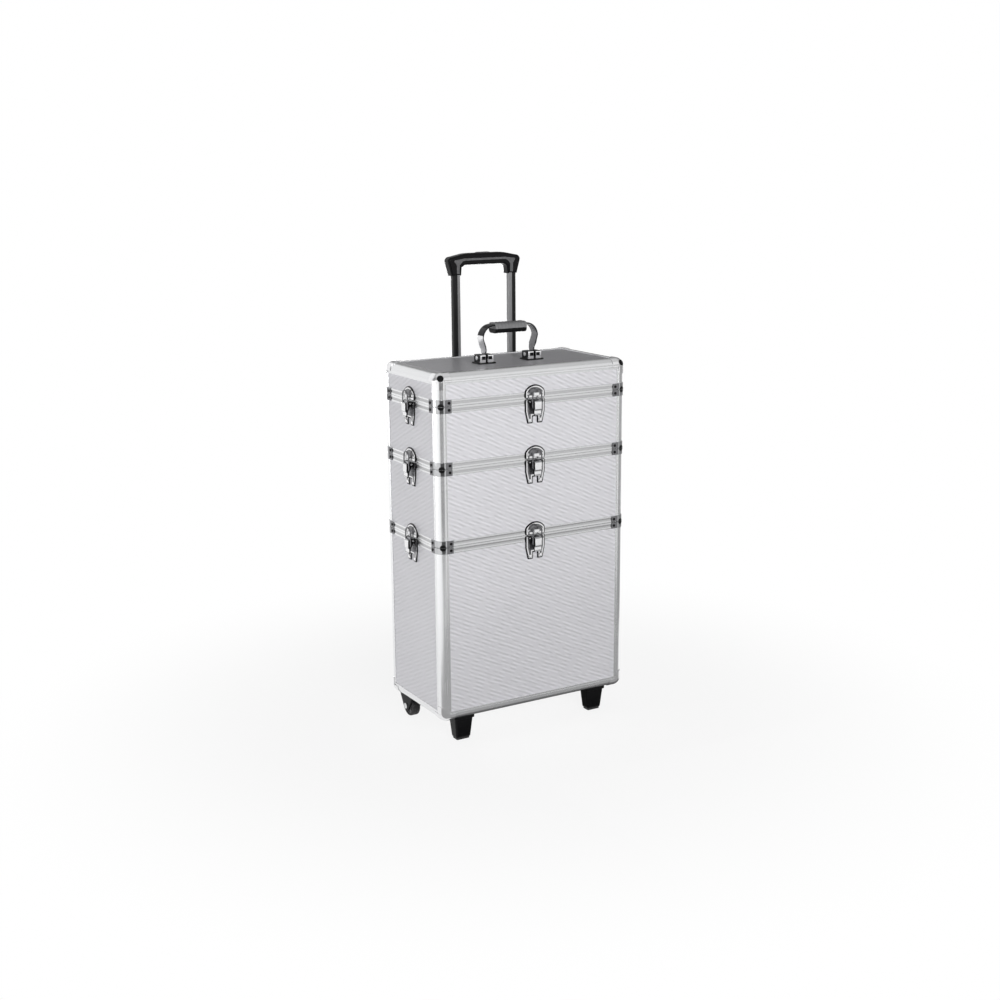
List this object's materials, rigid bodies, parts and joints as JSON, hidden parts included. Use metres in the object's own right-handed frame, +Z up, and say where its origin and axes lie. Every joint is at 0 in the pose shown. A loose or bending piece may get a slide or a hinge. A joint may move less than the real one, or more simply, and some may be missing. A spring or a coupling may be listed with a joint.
{
  "type": "rolling makeup case",
  "caption": "Stacked silver makeup case on a wheeled bin: lift-off tiers and lid held by draw latches, carry handle on the lid, telescopic trolley handle behind.",
  "frame": {"origin": "on the floor, under the middle of the case body", "axes": "+X right, +Y to the back where the trolley handle is, +Z up"},
  "size_m": [0.3732, 0.215, 0.774],
  "materials": {
    "panel_silver": "embossed silver sheet on board",
    "edge_aluminium": "satin extruded rail",
    "rim_aluminium": "satin extruded rim",
    "chrome": "bright plated steel",
    "chrome_lever": "bright plated lever",
    "chrome_loop": "bright plated loop",
    "lining": "black woven lining",
    "divider_pad": "black padded divider",
    "black_plastic": "moulded black",
    "button_plastic": "moulded dark grey",
    "steel": "turned axle",
    "wheel_plastic": "moulded grey hub",
    "tyre": "soft tread",
    "tube_black": "dark anodised tube",
    "tray_plastic": "vacuum-formed tray",
    "grip_grey": "moulded grey grip"
  },
  "bodies": {
    "base": {"base_panels": "panel_silver", "base_edges": "edge_aluminium", "base_rim": "rim_aluminium", "base_corner_fittings": "chrome", "base_lining": "lining", "base_latch_plates": "chrome", "front_feet": "black_plastic", "wheel_housings": "black_plastic", "wheel_axles": "steel", "trolley_outer_tubes": "tube_black", "trolley_clamps": "black_plastic"},
    "left_wheel": {"wheel_left": "wheel_plastic", "tyre_left": "tyre"},
    "right_wheel": {"wheel_right": "wheel_plastic", "tyre_right": "tyre"},
    "trolley": {"trolley_tubes": "tube_black", "trolley_grip": "black_plastic"},
    "button": {"trolley_button": "button_plastic"},
    "middle": {"middle_panels": "panel_silver", "middle_posts": "edge_aluminium", "middle_rims": "rim_aluminium", "middle_corner_fittings": "chrome", "middle_lining": "lining", "middle_dividers": "divider_pad", "middle_latch_plates": "chrome"},
    "upper": {"upper_panels": "panel_silver", "upper_posts": "edge_aluminium", "upper_rims": "rim_aluminium", "upper_corner_fittings": "chrome", "upper_lining": "lining", "tray_ledges": "tray_plastic", "upper_latch_plates": "chrome"},
    "tray": {"lift_out_tray": "tray_plastic"},
    "lid": {"lid_panels": "panel_silver", "lid_edges": "edge_aluminium", "lid_rim": "rim_aluminium", "lid_corner_fittings": "chrome", "lid_lining": "lining", "lid_strikes": "chrome", "handle_brackets": "chrome"},
    "carry_handle": {"handle_strap": "chrome", "handle_grip": "grip_grey"},
    "low_front_lever": {"lever_low_front": "chrome_lever"},
    "low_front_loop": {"loop_low_front": "chrome_loop"},
    "low_left_lever": {"lever_low_left": "chrome_lever"},
    "low_left_loop": {"loop_low_left": "chrome_loop"},
    "low_right_lever": {"lever_low_right": "chrome_lever"},
    "low_right_loop": {"loop_low_right": "chrome_loop"},
    "mid_front_lever": {"lever_mid_front": "chrome_lever"},
    "mid_front_loop": {"loop_mid_front": "chrome_loop"},
    "mid_left_lever": {"lever_mid_left": "chrome_lever"},
    "mid_left_loop": {"loop_mid_left": "chrome_loop"},
    "mid_right_lever": {"lever_mid_right": "chrome_lever"},
    "mid_right_loop": {"loop_mid_right": "chrome_loop"},
    "top_front_lever": {"lever_top_front": "chrome_lever"},
    "top_front_loop": {"loop_top_front": "chrome_loop"},
    "top_left_lever": {"lever_top_left": "chrome_lever"},
    "top_left_loop": {"loop_top_left": "chrome_loop"},
    "top_right_lever": {"lever_top_right": "chrome_lever"},
    "top_right_loop": {"loop_top_right": "chrome_loop"}
  },
  "joints": [
    {"name": "middle_lift", "type": "slide", "parent": "base", "child": "middle", "axis": [0, 0, 1], "range_m": [0, 0.16]},
    {"name": "upper_lift", "type": "slide", "parent": "middle", "child": "upper", "axis": [0, 0, 1], "range_m": [0, 0.16]},
    {"name": "lid_lift", "type": "slide", "parent": "upper", "child": "lid", "axis": [0, 0, 1], "range_m": [0, 0.16]},
    {"name": "tray_lift", "type": "slide", "parent": "upper", "child": "tray", "axis": [0, 0, 1], "range_m": [0, 0.03]},
    {"name": "trolley_slide", "type": "slide", "parent": "base", "child": "trolley", "axis": [0, 0, 1], "range_m": [-0.15, 0]},
    {"name": "button_push", "type": "slide", "parent": "trolley", "child": "button", "axis": [0, 0, 1], "range_m": [-0.003, 0], "stiffness_N_per_m": 400, "springref_m": 0.002},
    {"name": "carry_handle_fold", "type": "hinge", "parent": "lid", "child": "carry_handle", "pos_m": [0, -0.01, 0.614], "axis": [1, 0, 0], "range_deg": [-80, 80]},
    {"name": "left_wheel_turn", "type": "hinge", "parent": "base", "child": "left_wheel", "pos_m": [-0.15, 0.066, 0.018], "axis": [1, 0, 0], "continuous": true},
    {"name": "right_wheel_turn", "type": "hinge", "parent": "base", "child": "right_wheel", "pos_m": [0.15, 0.066, 0.018], "axis": [1, 0, 0], "continuous": true},
    {"name": "low_front_lever_swing", "type": "hinge", "parent": "base", "child": "low_front_lever", "pos_m": [0, -0.0972, 0.328], "axis": [-1, 0, 0], "range_deg": [0, 110]},
    {"name": "low_front_loop_swing", "type": "hinge", "parent": "low_front_lever", "child": "low_front_loop", "pos_m": [0, -0.1002, 0.318], "axis": [-1, 0, 0], "range_deg": [-90, 0]},
    {"name": "low_left_lever_swing", "type": "hinge", "parent": "base", "child": "low_left_lever", "pos_m": [-0.1802, 0, 0.328], "axis": [0, 1, 0], "range_deg": [0, 110]},
    {"name": "low_left_loop_swing", "type": "hinge", "parent": "low_left_lever", "child": "low_left_loop", "pos_m": [-0.1832, 0, 0.318], "axis": [0, 1, 0], "range_deg": [-90, 0]},
    {"name": "low_right_lever_swing", "type": "hinge", "parent": "base", "child": "low_right_lever", "pos_m": [0.1802, 0, 0.328], "axis": [0, -1, 0], "range_deg": [0, 110]},
    {"name": "low_right_loop_swing", "type": "hinge", "parent": "low_right_lever", "child": "low_right_loop", "pos_m": [0.1832, 0, 0.318], "axis": [0, -1, 0], "range_deg": [-90, 0]},
    {"name": "mid_front_lever_swing", "type": "hinge", "parent": "middle", "child": "mid_front_lever", "pos_m": [0, -0.0972, 0.453], "axis": [-1, 0, 0], "range_deg": [0, 110]},
    {"name": "mid_front_loop_swing", "type": "hinge", "parent": "mid_front_lever", "child": "mid_front_loop", "pos_m": [0, -0.1002, 0.443], "axis": [-1, 0, 0], "range_deg": [-90, 0]},
    {"name": "mid_left_lever_swing", "type": "hinge", "parent": "middle", "child": "mid_left_lever", "pos_m": [-0.1802, 0, 0.453], "axis": [0, 1, 0], "range_deg": [0, 110]},
    {"name": "mid_left_loop_swing", "type": "hinge", "parent": "mid_left_lever", "child": "mid_left_loop", "pos_m": [-0.1832, 0, 0.443], "axis": [0, 1, 0], "range_deg": [-90, 0]},
    {"name": "mid_right_lever_swing", "type": "hinge", "parent": "middle", "child": "mid_right_lever", "pos_m": [0.1802, 0, 0.453], "axis": [0, -1, 0], "range_deg": [0, 110]},
    {"name": "mid_right_loop_swing", "type": "hinge", "parent": "mid_right_lever", "child": "mid_right_loop", "pos_m": [0.1832, 0, 0.443], "axis": [0, -1, 0], "range_deg": [-90, 0]},
    {"name": "top_front_lever_swing", "type": "hinge", "parent": "upper", "child": "top_front_lever", "pos_m": [0, -0.0972, 0.551], "axis": [-1, 0, 0], "range_deg": [0, 110]},
    {"name": "top_front_loop_swing", "type": "hinge", "parent": "top_front_lever", "child": "top_front_loop", "pos_m": [0, -0.1002, 0.541], "axis": [-1, 0, 0], "range_deg": [-90, 0]},
    {"name": "top_left_lever_swing", "type": "hinge", "parent": "upper", "child": "top_left_lever", "pos_m": [-0.1802, 0, 0.551], "axis": [0, 1, 0], "range_deg": [0, 110]},
    {"name": "top_left_loop_swing", "type": "hinge", "parent": "top_left_lever", "child": "top_left_loop", "pos_m": [-0.1832, 0, 0.541], "axis": [0, 1, 0], "range_deg": [-90, 0]},
    {"name": "top_right_lever_swing", "type": "hinge", "parent": "upper", "child": "top_right_lever", "pos_m": [0.1802, 0, 0.551], "axis": [0, -1, 0], "range_deg": [0, 110]},
    {"name": "top_right_loop_swing", "type": "hinge", "parent": "top_right_lever", "child": "top_right_loop", "pos_m": [0.1832, 0, 0.541], "axis": [0, -1, 0], "range_deg": [-90, 0]}
  ],
  "couplings": [
    {"joint": "low_front_loop_swing", "follows": "low_front_lever_swing", "ratio": -0.8},
    {"joint": "low_left_loop_swing", "follows": "low_left_lever_swing", "ratio": -0.8},
    {"joint": "low_right_loop_swing", "follows": "low_right_lever_swing", "ratio": -0.8},
    {"joint": "mid_front_loop_swing", "follows": "mid_front_lever_swing", "ratio": -0.8},
    {"joint": "mid_left_loop_swing", "follows": "mid_left_lever_swing", "ratio": -0.8},
    {"joint": "mid_right_loop_swing", "follows": "mid_right_lever_swing", "ratio": -0.8},
    {"joint": "top_front_loop_swing", "follows": "top_front_lever_swing", "ratio": -0.8},
    {"joint": "top_left_loop_swing", "follows": "top_left_lever_swing", "ratio": -0.8},
    {"joint": "top_right_loop_swing", "follows": "top_right_lever_swing", "ratio": -0.8}
  ]
}
